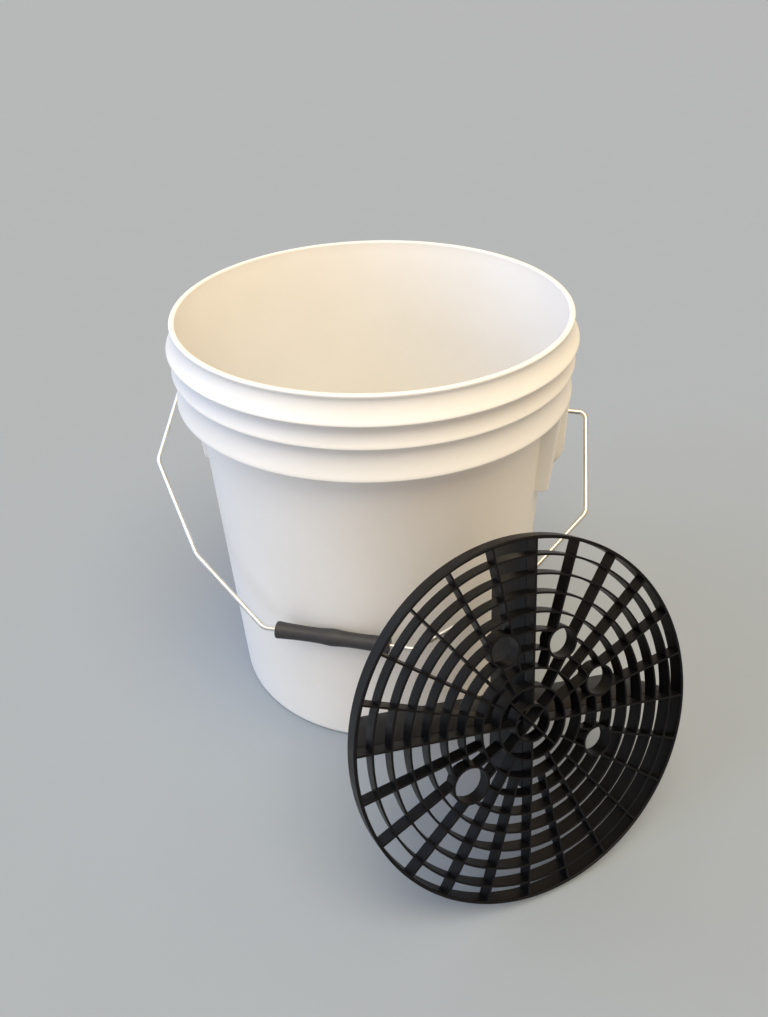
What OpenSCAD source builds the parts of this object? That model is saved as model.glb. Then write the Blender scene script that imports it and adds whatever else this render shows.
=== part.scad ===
// Wash bucket: an 18 litre pail with a wire bail and hand grip, and the grit guard that
// belongs inside it, stood leaning on the floor in front of it.
// Millimetres, +Z up. The origin is on the pail's axis, on the floor it stands on.
// The front of the bucket faces -Y.

/* [Pail] */
// Height of the pail to the top of its lip
pail_h = 338; // [300:1:380]
// Outer radius of the lip, which takes a standard 302 mm lid
lip_r = 151; // [150:0.5:152]
// Outer radius of the body at the floor
base_r = 131; // [130.5:0.1:132]
// How much the body's radius grows for each millimetre of height
wall_taper = 0.0301; // [0.028:0.0001:0.032]
// Thickness of the side wall
wall_t = 2.2; // [1.8:0.1:2.4]
// Thickness of the floor plate
floor_t = 2.5; // [2:0.1:4]
// Height of the foot ring under the floor plate
foot_h = 3; // [2:0.5:4]

/* [Rim skirts] */
// Drop from the lip to the lower edge of each skirt, top skirt first
skirt_drop = [19.8, 37.0, 61.5]; // [10:0.1:70]
// Outer radius of each skirt's lower edge
skirt_r = [155.9, 154.6, 154.4]; // [152:0.1:158]
// Thickness of a skirt
skirt_t = 2.2; // [1.6:0.1:2.4]

/* [Ears] */
// Direction of the right ear, seen from above, from +X
ear_turn = -14.2; // [-20:0.1:0]
// Height of the bail's pivot axis
pivot_h = 260.5; // [255:0.5:265]
// Width of an ear around the pail
ear_w = 60; // [50:1:66]
// Height of an ear's lower end
ear_bottom = 203; // [195:1:207]
// Reach of an ear from the pail's axis at its lower end
ear_low_r = 144.8; // [142:0.1:147]
// Reach of an ear from the pail's axis at its upper end
ear_high_r = 151.5; // [150:0.5:152.5]
// Radius of the boss around the bail's hole
boss_r = 11; // [8:0.5:12]
// Reach of the boss from the pail's axis
boss_reach = 153.4; // [152:0.1:154]

/* [Bail] */
// Wire radius
wire_r = 1.9; // [1.6:0.1:2.2]
// Radial clearance of the wire in an ear's hole and in the grip
wire_gap = 0.1; // [0.02:0.01:0.1]
// Angle of the resting bail forward of hanging straight down
bail_rest = 46.3; // [46.3:0.1:60]
// Half the width of the bail at the pivots
bail_half = 166.6; // [164:0.5:170]
// Half the width of the bail at its widest bends
bail_wide = 174.5; // [170:0.5:180]
// Distance of the widest bends from the pivot axis, the right one first: the wire is bent by hand
bail_wide_drop = [78, 72.4]; // [70:0.1:80]
// Half the width of the bail at its middle bends
bail_mid = 126; // [122:0.5:135]
// Distance of the middle bends from the pivot axis
bail_mid_drop = 146; // [140:0.5:150]
// Half the length of the straight stretch under the grip, to its bends
bail_flat = 60; // [58:0.5:62]
// Distance of the grip's axis from the pivot axis
bail_drop = 196.2; // [196.2:0.1:200]
// Bend radius of the wire at the pivots, and then at each bend towards the grip
bail_bend = [6, 10, 16, 12]; // [5:1:20]

/* [Grip] */
// Length of the hand grip
grip_len = 90; // [80:1:100]
// Outer radius of the grip's bulge at its middle
grip_mid_r = 6.7; // [6.2:0.1:6.8]
// Outer radius of the grip between its middle and its ends
grip_neck_r = 5.9; // [5:0.1:6.2]
// Outer radius of the grip's flared ends
grip_end_r = 6.9; // [6.2:0.1:7.2]
// How far the loose grip has slid along the wire, to the right
grip_slide = -4; // [-8:0.1:8]

/* [Grit guard] */
// Outer radius of the guard, a close fit inside the pail
guard_r = 130.3; // [129:0.1:130.3]
// Height of the guard's rim band
guard_rim_h = 11.7; // [10:0.1:14]
// Thickness of the rim band
guard_rim_t = 2.4; // [2:0.1:3]
// Number of rings in the grid, inside the rim
ring_count = 9; // [9:1:9]
// Thickness of a ring or a spoke of the grid
grid_t = 1.5; // [1.2:0.1:2]
// Depth of the grid
grid_h = 11; // [9:0.5:11.5]
// Number of spokes in the outer zone
spoke_count = 24; // [24:1:24]
// Full height of the guard, with its vanes
guard_h = 56.5; // [50:0.5:60]
// Thickness of a vane
vane_t = 2; // [1.6:0.1:2.6]
// Reach of a full vane at its free edge
vane_tip_r = 114; // [100:1:120]
// Inner radius of the four finger holes
finger_r = 10.2; // [9:0.1:10.4]
// Inner radius of the thumb hole
thumb_r = 12.2; // [11:0.1:12.4]
// Wall thickness of the finger and thumb holes
tube_t = 1.6; // [1.4:0.1:2]

/* [Grit guard's place] */
// Where the middle of the guard's front face stands, to the right
guard_x = 99.9; // [95:0.1:105]
// Where the middle of the guard's front face stands, in depth
guard_y = -226.8; // [-240:0.1:-224]
// Direction that the guard faces, to the right of straight ahead
guard_turn = 24.2; // [20:0.1:28]
// How far the guard leans back from upright
guard_lean = 23.3; // [20:0.1:26]
// Turn of the guard's upper vane about the guard's own axis
guard_roll = 78.3; // [70:0.1:90]

/* [Hidden] */
$fn = 128;

// Pail
floor_z = foot_h + floor_t;
corner_r = 5;
foot_in_r = 122;
fillet_r = 3;                       // between the floor and the wall, inside
neck_z = 250;                       // the wall starts to open out here
lip_h = 2.2;                        // height of the lip's bead
lip_z = pail_h - lip_h;
neck_r = lip_r - lip_h;             // outer radius of the wall just under the bead
skirt_low = [for (d = skirt_drop) pail_h - d];
skirt_top = [lip_z, pail_h - 17.5, pail_h - 34.5];
skirt_root = [pail_h - 8.5, pail_h - 20.2, pail_h - 37.2];
skirt_start_r = [neck_r, neck_r - 0.6, neck_r - 0.8];
skirt_steps = 10;

// Ears
ear_skin = 2.5;
ear_top = pail_h - 40;
boss_low = pivot_h - 35;            // middle of the boss's round lower end
hole_r = wire_r + wire_gap;
head_r = 4;                         // the wire's upset end, behind the ear's plate
head_z = [143, 145.6];
bend_lap = 0.2;                     // how far a straight stretch runs into a bend

// Guard
guard_in_r = guard_r - guard_rim_t;
ring_pitch = guard_r / (ring_count + 1);
hole_at = 4.5 * ring_pitch;         // the finger and thumb holes' distance from the middle
spoke_step = 360 / spoke_count;
finger_turns = [for (i = [-1.5, -0.5, 0.5, 1.5]) i * 45 - 45];
thumb_turn = 127.5;
vane_top_r = guard_in_r - 0.3;
short_vane_r = 4 * ring_pitch;
guard_z = 0.2 + guard_r * cos(guard_lean) + guard_rim_h * sin(guard_lean);

// Radius of the body's straight taper at height z
function body_r(z) = base_r + wall_taper * z;

// Outer radius of the wall, with the neck that opens out to the lip
function wall_r(z) = body_r(z) + (z < neck_z ? 0
    : (neck_r - body_r(lip_z)) * pow((z - neck_z) / (lip_z - neck_z), 2));

// Outer radius of skirt k at the share s of the way down it
function flare_r(k, s) = skirt_start_r[k] + (skirt_r[k] - skirt_start_r[k]) * pow(s, 1.8);

// Points of an arc about c, from angle a to angle b
function arc(c, r, a, b, n = 6) = [for (i = [0:n]) let (t = a + (b - a) * i / n) c + r * [cos(t), sin(t)]];

// Heights at which the neck's outline has a point, up to the lip
neck_zs = [neck_z, 264, 278, 290, skirt_root[2], skirt_top[2], 311, skirt_root[1], skirt_top[1],
           skirt_root[0], lip_z];

// Inner radius of the wall at height z
function bore_r(z) = wall_r(z) - wall_t;

// ---- pail ----

module pail_base() color("ivory") translate([0, 0, foot_h]) cylinder(r = foot_in_r, h = floor_t);

// The ring that the pail stands on, with the corner below the wall and the fillet inside it
module foot_ring() color("ivory") rotate_extrude() polygon(concat(
    [[foot_in_r, floor_z], [foot_in_r, 0]],
    arc([body_r(corner_r) - corner_r, corner_r], corner_r, -90, 0),
    [[bore_r(corner_r), corner_r]],
    arc([bore_r(floor_z + fillet_r) - fillet_r, floor_z + fillet_r], fillet_r, 0, -90)));

module pail_wall() color("ivory") rotate_extrude() polygon([
    [bore_r(corner_r), corner_r], [wall_r(corner_r), corner_r],
    [wall_r(neck_z), neck_z], [bore_r(neck_z), neck_z]]);

// The wall's upper end, which opens out, with the lip's bead
module pail_neck() color("ivory") rotate_extrude() polygon(concat(
    [for (z = neck_zs) [wall_r(z), z]],
    arc([lip_r - lip_h / 2, pail_h - lip_h / 2], lip_h / 2, -90, 90),
    arc([neck_r - wall_t + 0.8, pail_h - 0.8], 0.8, 90, 180, 4),
    [for (i = [len(neck_zs) - 1:-1:0]) [bore_r(neck_zs[i]), neck_zs[i]]]));

// A flared skirt: shoulder, trumpet-shaped outside, rolled lower edge, then up the inside to the wall
module skirt_ring(k) {
    top = skirt_top[k];
    edge = skirt_t / 2;
    low = skirt_low[k] + edge;
    inner = [for (i = [skirt_steps - 1:-1:1]) let (s = i / skirt_steps, z = top - s * (top - low))
             if (z < skirt_root[k] - 0.5) [flare_r(k, s) - skirt_t, z]];
    root_s = (top - skirt_root[k]) / (top - low);
    color("ivory") rotate_extrude() polygon(concat(
        [[wall_r(skirt_root[k]), skirt_root[k]], [wall_r(top), top]],
        [for (i = [0:skirt_steps]) [flare_r(k, i / skirt_steps), top - i / skirt_steps * (top - low)]],
        arc([skirt_r[k] - edge, low], edge, -30, -180, 5),
        inner,
        [[max(flare_r(k, root_s) - skirt_t, wall_r(skirt_root[k]) + 0.1), skirt_root[k]]]));
}

module skirt_ring_1() skirt_ring(0);

module skirt_ring_2() skirt_ring(1);

module skirt_ring_3() skirt_ring(2);

// The space below and inside the lowest skirt, where an ear may stand
module under_skirt() {
    k = 2;
    low = skirt_low[k] + skirt_t / 2;
    rotate_extrude() polygon(concat(
        [[100, ear_bottom - 10], [170, ear_bottom - 10], [170, skirt_low[k] - 0.2],
         [skirt_r[k] - skirt_t - 0.1, skirt_low[k] - 0.2]],
        [for (i = [skirt_steps:-1:4]) let (s = i / skirt_steps)
         [flare_r(k, s) - skirt_t - 0.1, skirt_top[k] - s * (skirt_top[k] - low)]],
        [[100, skirt_top[k] - 0.4 * (skirt_top[k] - low)]]));
}

// Everything inside the wall's outer face
module pail_inside() rotate_extrude() polygon(concat(
    [[0, 0], [base_r, 0]], [for (z = neck_zs) [wall_r(z), z]], [[0, lip_z]]));

// A slab of width w whose outer face follows the ear, set in by skin
module ear_slab(w, skin, bottom) rotate([90, 0, 0]) translate([0, 0, -w / 2]) linear_extrude(w)
    polygon([[120, bottom], [ear_low_r - skin + (bottom - ear_bottom) * ear_slope(), bottom],
             [ear_high_r - skin, ear_top], [120, ear_top]]);

function ear_slope() = (ear_high_r - ear_low_r) / (ear_top - ear_bottom);

// Pad around the wire's hole: upright above it, then sloping back to the ear's face, round below
module boss() intersection() {
    union() {
        translate([140, 0, boss_low]) rotate([0, 90, 0]) cylinder(r = boss_r, h = 20);
        translate([140, -boss_r, boss_low]) cube([20, 2 * boss_r, skirt_low[2] + 20 - boss_low]);
    }
    rotate([90, 0, 0]) translate([0, 0, -boss_r - 1]) linear_extrude(2 * boss_r + 2) polygon([
        [139, boss_low - boss_r - 1],
        [ear_low_r + (boss_low - boss_r - ear_bottom) * ear_slope(), boss_low - boss_r - 1],
        [boss_reach, boss_low + 6], [boss_reach, skirt_low[2] + 21], [139, skirt_low[2] + 21]]);
}

// Ear: a tapered box under the lowest skirt, open below, with a bored boss for the wire
module ear() difference() {
    intersection() {
        union() {
            ear_slab(ear_w, 0, ear_bottom);
            boss();
        }
        under_skirt();
    }
    ear_slab(ear_w - 2 * ear_skin, ear_skin, ear_bottom - 1);
    translate([140, 0, pivot_h]) rotate([0, 90, 0]) cylinder(r = hole_r, h = 20);
    pail_inside();
}

module ear_right() color("ivory") rotate([0, 0, ear_turn]) ear();

module ear_left() color("ivory") rotate([0, 0, ear_turn + 180]) ear();

// ---- bail ----

function unit(v) = v / norm(v);
function turn_of(v) = atan2(v[1], v[0]);

// Round wire through flat points that turn left, with bend radius bends[i] at each inner point.
// The bends are a hair thicker than the straight stretches, whose ends run into them.
module bent_wire(points, bends, r) {
    last = len(points) - 1;
    turn = [for (i = [1:last - 1])
            (turn_of(points[i + 1] - points[i]) - turn_of(points[i] - points[i - 1]) + 360) % 360];
    cut = concat([0], [for (i = [0:last - 2]) bends[i] * tan(turn[i] / 2) - bend_lap], [0]);
    for (i = [0:last - 1]) {
        dir = unit(points[i + 1] - points[i]);
        translate(points[i] + dir * cut[i]) rotate([0, 90, turn_of(dir)])
            cylinder(r = r, h = norm(points[i + 1] - points[i]) - cut[i] - cut[i + 1]);
    }
    for (i = [1:last - 1]) {
        dir = unit(points[i] - points[i - 1]);
        normal = [-dir[1], dir[0]];
        translate(points[i] - dir * (cut[i] + bend_lap) + normal * bends[i - 1])
            rotate([0, 0, turn_of(dir) - 90])
            rotate_extrude(angle = turn[i - 1]) translate([bends[i - 1], 0]) circle(r = r + 0.02);
    }
}

// Puts a shape drawn in the bail's own plane, x along the pivots and y towards the grip, at rest
module bail_place() translate([0, 0, pivot_h]) rotate([0, 0, ear_turn])
    rotate([270 - bail_rest, 0, 0]) children();

// Corners of one half of the bail, from the pivot to the grip
function bail_side(drop) = [[bail_half, 0], [bail_wide, drop],
                            [bail_mid, bail_mid_drop], [bail_flat, bail_drop]];

module bail_wire() color("silver") bail_place() {
    left = bail_side(bail_wide_drop[1]);
    mirrored = [for (i = [3:-1:0]) [-left[i][0], left[i][1]]];
    bent_wire(concat([[head_z[0], 0]], bail_side(bail_wide_drop[0]), mirrored, [[-head_z[0], 0]]),
              concat(bail_bend, [for (i = [3:-1:0]) bail_bend[i]]), wire_r, $fn = 32);
    for (side = [-1, 1]) rotate([0, side * 90, 0]) translate([0, 0, head_z[0]])
        cylinder(r = head_r, h = head_z[1] - head_z[0], $fn = 32);
}

// Radius of the grip at x from its middle: a low bulge in the middle and flared ends
function grip_r(x) = grip_neck_r + (grip_mid_r - grip_neck_r) * exp(-pow(x / 8, 2))
    + (grip_end_r - grip_neck_r) * pow(max(0, abs(x) - grip_len / 5) / (0.3 * grip_len), 2);

module hand_grip() color("dimgray") bail_place() translate([grip_slide, bail_drop, 0]) rotate([0, 90, 0]) {
    half = grip_len / 2;
    steps = 24;
    rotate_extrude($fn = 48) polygon(concat([[hole_r, -half]],
        [for (i = [0:steps]) let (x = -half + i * grip_len / steps) [grip_r(x), x]],
        [[hole_r, half]]));
}

// ---- grit guard, drawn flat with its grid's face at z = 0 and its vanes below ----

// Stands the flat guard on the floor, leaning back, with its grid to the front
module guard_place() translate([guard_x, guard_y, guard_z]) rotate([90 - guard_lean, 0, guard_turn])
    rotate([0, 0, guard_roll]) children();

module tube(r_out, r_in, h) difference() {
    translate([0, 0, -h]) cylinder(r = r_out, h = h);
    translate([0, 0, -h - 1]) cylinder(r = r_in, h = h + 2);
}

module at_hole(turn) rotate([0, 0, turn]) translate([hole_at, 0, 0]) children();

// Spokes every step degrees, between two radii
module spokes(step, r_from, r_to) for (a = [0:step:359]) rotate([0, 0, a])
    translate([r_from, -grid_t / 2, -grid_h]) cube([r_to - r_from, grid_t, grid_h]);

module rings() for (i = [1:ring_count])
    tube(i * ring_pitch + grid_t / 2, i * ring_pitch - grid_t / 2, grid_h);

// Where the finger and thumb holes stand, their tubes included
module hole_plugs() {
    for (a = finger_turns) at_hole(a) translate([0, 0, -grid_h - 1])
        cylinder(r = finger_r + tube_t, h = grid_h + 2);
    at_hole(thumb_turn) translate([0, 0, -grid_h - 1]) cylinder(r = thumb_r + tube_t, h = grid_h + 2);
}

module guard_rim() color("dimgray") guard_place() tube(guard_r, guard_in_r, guard_rim_h);

module guard_rings() color("dimgray") guard_place() difference() {
    rings();
    hole_plugs();
}

// The stretches of spoke between the rings: fewer and fewer of them towards the middle, where
// two bars cross
module guard_spokes() color("dimgray") guard_place() difference() {
    union() {
        intersection() {
            spokes(spoke_step, 3 * ring_pitch, guard_r);
            translate([0, 0, -grid_h]) cylinder(r = guard_in_r, h = grid_h);
        }
        spokes(2 * spoke_step, 2 * ring_pitch, 3 * ring_pitch);
        spokes(3 * spoke_step, ring_pitch, 2 * ring_pitch);
        for (a = [45, 135]) rotate([0, 0, a]) translate([-ring_pitch, -grid_t / 2, -grid_h])
            cube([2 * ring_pitch, grid_t, grid_h]);
    }
    rings();
    hole_plugs();
}

module finger_tubes() color("dimgray") guard_place() for (a = finger_turns) at_hole(a)
    tube(finger_r + tube_t, finger_r, grid_h);

module thumb_tube() color("dimgray") guard_place() at_hole(thumb_turn)
    tube(thumb_r + tube_t, thumb_r, grid_h);

// Upright plate under the grid, with its outer end slanted in; the first one fills the middle
module vane(turn, root_r, top_r, tip_r) guard_place() rotate([0, 0, turn])
    translate([0, vane_t / 2, -guard_h]) rotate([90, 0, 0]) linear_extrude(vane_t) polygon([[root_r, 0], [tip_r, 0],
        [top_r, guard_h - guard_rim_h], [top_r, guard_h - grid_h], [root_r, guard_h - grid_h]]);

module guard_vane_1() color("dimgray") vane(0, -vane_t / 2, vane_top_r, vane_tip_r);

module guard_vane_2() color("dimgray") vane(90, vane_t / 2, vane_top_r, vane_tip_r);

module guard_vane_3() color("dimgray") vane(180, vane_t / 2, short_vane_r, short_vane_r);

module guard_vane_4() color("dimgray") vane(270, vane_t / 2, vane_top_r, vane_tip_r);

pail_base();
foot_ring();
pail_wall();
pail_neck();
skirt_ring_1();
skirt_ring_2();
skirt_ring_3();
ear_right();
ear_left();
bail_wire();
hand_grip();
guard_rim();
guard_rings();
guard_spokes();
finger_tubes();
thumb_tube();
guard_vane_1();
guard_vane_2();
guard_vane_3();
guard_vane_4();
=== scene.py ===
"""Looks of the wash bucket: a moulded pail with its wire bail and hand grip, and the grit guard
that stands leaning in front of it. Metres, Z up, with the pail's axis through the origin."""

import logging
import math
from collections.abc import Sequence
from dataclasses import dataclass, field
from enum import Enum

import bmesh
import bpy
from mathutils import Matrix, Vector


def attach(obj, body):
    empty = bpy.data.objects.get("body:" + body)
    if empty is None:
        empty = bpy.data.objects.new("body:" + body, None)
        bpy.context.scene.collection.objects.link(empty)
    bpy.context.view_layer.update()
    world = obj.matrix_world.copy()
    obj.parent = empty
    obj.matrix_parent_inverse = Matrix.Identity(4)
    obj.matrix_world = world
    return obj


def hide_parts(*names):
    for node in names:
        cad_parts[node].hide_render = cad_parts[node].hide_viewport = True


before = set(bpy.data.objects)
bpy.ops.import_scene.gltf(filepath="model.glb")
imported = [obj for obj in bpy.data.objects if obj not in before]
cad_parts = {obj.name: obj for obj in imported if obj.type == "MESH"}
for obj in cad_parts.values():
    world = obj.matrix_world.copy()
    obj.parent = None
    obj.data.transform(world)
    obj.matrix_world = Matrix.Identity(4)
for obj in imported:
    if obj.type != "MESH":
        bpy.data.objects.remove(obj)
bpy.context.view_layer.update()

log = logging.getLogger("wash_bucket")

MM = 0.001
Flat = tuple[float, float]
Corner = tuple[float, float, float]
SocketValue = bpy.types.NodeSocket | bpy.types.ID | float | int | bool | str | Sequence[float]


# ---- small helpers ----


def linear(code: str) -> tuple[float, float, float, float]:
    """Turns an sRGB hex colour into linear light.

    Args:
        code: the colour, such as "#F0EDE6".

    Returns:
        Red, green, blue and alpha, from 0 to 1.
    """
    parts = [int(code[i : i + 2], 16) / 255 for i in (1, 3, 5)]
    red, green, blue = (p / 12.92 if p <= 0.04045 else ((p + 0.055) / 1.055) ** 2.4 for p in parts)
    return red, green, blue, 1.0


def add_node(
    tree: bpy.types.NodeTree,
    kind: str,
    inputs: dict[str | int, SocketValue] | None = None,
    **settings: object,
) -> bpy.types.Node:
    """Adds a node with its settings, values and links.

    Args:
        tree: the node tree that gets it.
        kind: the node's type name.
        inputs: a value, or an output to link, for each input by name or number.
        **settings: the node's own properties.

    Returns:
        The new node.
    """
    node = tree.nodes.new(kind)
    for name, value in settings.items():
        setattr(node, name, value)
    for key, value in (inputs or {}).items():
        if isinstance(value, bpy.types.NodeSocket):
            tree.links.new(value, node.inputs[key])
        else:
            node.inputs[key].default_value = value
    return node


def soften(corners: Sequence[Corner], steps: int = 5, support: float = 0.35) -> list[Flat]:
    """Rounds the corners of an outline, with a holding point beside each rounding.

    Args:
        corners: two coordinates and a radius for each corner, in millimetres.
        steps: how many stretches a rounding has.
        support: how far the holding points stand from it.

    Returns:
        The points of the softened outline.
    """
    out: list[Flat] = []
    for i, (x, y, radius) in enumerate(corners):
        if radius <= 0 or i in (0, len(corners) - 1):
            out.append((x, y))
            continue
        tip = Vector((x, y))
        back, ahead = (Vector(corners[k][:2]) - tip for k in (i - 1, i + 1))
        half = back.angle(ahead) / 2
        room = 0.45 * min(back.length, ahead.length)
        cut = min(radius / math.tan(half), room)
        back.normalize()
        ahead.normalize()
        centre = tip + (back + ahead).normalized() * cut / math.cos(half)
        first, last = tip + back * cut - centre, tip + ahead * cut - centre
        turn = first.angle_signed(last)
        hold = min(support, room * 0.1)
        out.append(tuple(tip + back * (cut + hold)))
        for s in range(steps + 1):
            out.append(tuple(centre + Matrix.Rotation(-turn * s / steps, 2) @ first))
        out.append(tuple(tip + ahead * (cut + hold)))
    return out


def new_mesh(
    name: str,
    points: Sequence[Sequence[float]],
    faces: Sequence[Sequence[int]] = (),
    edges: Sequence[tuple[int, int]] = (),
) -> bpy.types.Object:
    """Makes an object from points in millimetres.

    Args:
        name: the object's name.
        points: its points, in millimetres.
        faces: its faces, as point numbers.
        edges: its loose edges, as point numbers.

    Returns:
        The new object, linked to the scene.
    """
    mesh = bpy.data.meshes.new(name)
    mesh.from_pydata([[c * MM for c in p] for p in points], list(edges), list(faces))
    made = bpy.data.objects.new(name, mesh)
    bpy.context.scene.collection.objects.link(made)
    return made


def chain(name: str, points: Sequence[Sequence[float]]) -> bpy.types.Object:
    """Makes an object whose mesh is one open line through points in millimetres."""
    return new_mesh(name, points, edges=[(i, i + 1) for i in range(len(points) - 1)])


def outward(mesh: bpy.types.Mesh, sharp: float | None = None) -> None:
    """Merges doubled points, turns all faces outwards and sets the shading.

    Args:
        mesh: the mesh to tidy.
        sharp: the angle in degrees above which an edge stays crisp; None for smooth all over.
    """
    work = bmesh.new()
    work.from_mesh(mesh)
    bmesh.ops.remove_doubles(work, verts=work.verts, dist=1e-6)
    bmesh.ops.recalc_face_normals(work, faces=work.faces)
    work.to_mesh(mesh)
    work.free()
    mesh.shade_smooth()
    if sharp is not None:
        mesh.set_sharp_from_angle(angle=math.radians(sharp))


def settle(
    made: bpy.types.Object, place: Matrix | None = None, sharp: float | None = None
) -> bpy.types.Object:
    """Turns an object with modifiers into a plain mesh at the origin.

    Args:
        made: the object, whose modifiers are removed.
        place: where its mesh is moved to, in metres.
        sharp: as for outward.

    Returns:
        The same object, with its plain mesh.
    """
    graph = bpy.context.evaluated_depsgraph_get()
    mesh = bpy.data.meshes.new_from_object(made.evaluated_get(graph))
    made.modifiers.clear()
    made.data = mesh
    if place is not None:
        mesh.transform(place)
    outward(mesh, sharp)
    return made


def join(name: str, *parts: bpy.types.Object) -> bpy.types.Object:
    """Joins plain meshes into the first of them.

    Args:
        name: the joined object's name.
        *parts: the objects, which share one finish.

    Returns:
        The joined object.
    """
    with bpy.context.temp_override(active_object=parts[0], selected_editable_objects=list(parts)):
        bpy.ops.object.join()
    parts[0].name = name
    return parts[0]


# ---- Geometry Nodes ----


class NodeShape:
    """A Geometry Nodes tree with named inputs, built once and used on any object."""

    def __init__(self, name: str, sizes: dict[str, float | int], takes_mesh: bool = True) -> None:
        """Starts the tree.

        Args:
            name: the tree's name.
            sizes: its named inputs and their first values.
            takes_mesh: not used.
        """
        self.tree = bpy.data.node_groups.new(name, "GeometryNodeTree")
        face = self.tree.interface
        self.sockets: dict[str, str] = {}
        face.new_socket("Geometry", in_out="INPUT", socket_type="NodeSocketGeometry")
        for key, value in sizes.items():
            kind = "NodeSocketInt" if isinstance(value, int) else "NodeSocketFloat"
            made = face.new_socket(key, in_out="INPUT", socket_type=kind)
            made.default_value = value
            self.sockets[key] = made.identifier
        made = face.new_socket("Finish", in_out="INPUT", socket_type="NodeSocketMaterial")
        self.sockets["Finish"] = made.identifier
        face.new_socket("Geometry", in_out="OUTPUT", socket_type="NodeSocketGeometry")
        self.given = self.tree.nodes.new("NodeGroupInput").outputs

    def node(self, kind: str, inputs: dict | None = None, **settings: object) -> bpy.types.Node:
        """Adds a node to this tree, as add_node does."""
        return add_node(self.tree, kind, inputs, **settings)

    def maths(self, operation: str, *terms: SocketValue) -> bpy.types.NodeSocket:
        """Adds a Math node and returns its result."""
        return self.node("ShaderNodeMath", dict(enumerate(terms)), operation=operation).outputs[0]

    def finish(self, geometry: bpy.types.NodeSocket) -> None:
        """Ends the tree: smooth shading, real geometry, and the finish."""
        smooth = self.node("GeometryNodeSetShadeSmooth", {"Geometry": geometry})
        real = self.node("GeometryNodeRealizeInstances", {"Geometry": smooth.outputs[0]})
        dressed = self.node(
            "GeometryNodeSetMaterial", {"Geometry": real.outputs[0], "Material": self.given["Finish"]}
        )
        self.tree.links.new(dressed.outputs[0], self.tree.nodes.new("NodeGroupOutput").inputs[0])

    def put_on(self, made: bpy.types.Object, finish: bpy.types.Material, **sizes: float | int) -> None:
        """Adds the tree to an object as a modifier.

        Args:
            made: the object.
            finish: the material that the tree sets.
            **sizes: values for its inputs, with _ for a space in a name.
        """
        modifier = made.modifiers.new(self.tree.name, "NODES")
        modifier.node_group = self.tree
        for key, value in {**{k.replace("_", " "): v for k, v in sizes.items()}, "Finish": finish}.items():
            modifier[self.sockets[key]] = value


class LatheShape(NodeShape):
    """Turns the object's line, drawn as radius and height, about the Z axis."""

    def __init__(self) -> None:
        """Builds the tree: a grid whose points are sampled from the line."""
        super().__init__("Turned outline", {"Segments": 256})
        line = self.given["Geometry"]
        count = self.node("GeometryNodeAttributeDomainSize", {0: line}).outputs["Point Count"]
        around = self.maths("ADD", self.given["Segments"], 1.0)
        grid = self.node("GeometryNodeMeshGrid", {"Vertices X": around, "Vertices Y": count})
        index = self.node("GeometryNodeInputIndex").outputs[0]
        column = self.maths("FLOOR", self.maths("DIVIDE", self.maths("ADD", index, 0.5), count))
        row = self.maths("SUBTRACT", index, self.maths("MULTIPLY", column, count))
        angle = self.maths("MULTIPLY", self.maths("DIVIDE", column, self.given["Segments"]), math.tau)
        sample = self.node(
            "GeometryNodeSampleIndex",
            {"Geometry": line, "Value": self.node("GeometryNodeInputPosition").outputs[0], "Index": row},
            data_type="FLOAT_VECTOR",
        )
        spot = self.node("ShaderNodeSeparateXYZ", {0: sample.outputs[0]}).outputs
        turned = self.node(
            "ShaderNodeCombineXYZ",
            {
                "X": self.maths("MULTIPLY", spot["X"], self.maths("COSINE", angle)),
                "Y": self.maths("MULTIPLY", spot["X"], self.maths("SINE", angle)),
                "Z": spot["Z"],
            },
        )
        placed = self.node(
            "GeometryNodeSetPosition", {"Geometry": grid.outputs["Mesh"], "Position": turned.outputs[0]}
        )
        merged = self.node(
            "GeometryNodeMergeByDistance", {"Geometry": placed.outputs[0], "Distance": 1e-6}
        )
        self.finish(merged.outputs[0])


class RodShape(NodeShape):
    """Bends round wire along the object's line, whose points hold a bend radius."""

    def __init__(self) -> None:
        """Builds the tree: the line's corners are filleted, then a circle is swept along it."""
        super().__init__("Bent wire", {"Wire radius": 0.002, "Sides": 20, "Bend steps": 10})
        path = self.node("GeometryNodeMeshToCurve", {0: self.given["Geometry"]})
        bend = self.node("GeometryNodeInputNamedAttribute", {"Name": "bend"}, data_type="FLOAT")
        bent = self.node(
            "GeometryNodeFilletCurve",
            {"Curve": path.outputs[0], "Count": self.given["Bend steps"], "Radius": bend.outputs[0]},
            mode="POLY",
        )
        ring = self.node(
            "GeometryNodeCurvePrimitiveCircle",
            {"Resolution": self.given["Sides"], "Radius": self.given["Wire radius"]},
        )
        swept = self.node(
            "GeometryNodeCurveToMesh",
            {"Curve": bent.outputs[0], "Profile Curve": ring.outputs[0], "Fill Caps": True},
        )
        self.finish(swept.outputs[0])


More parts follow.
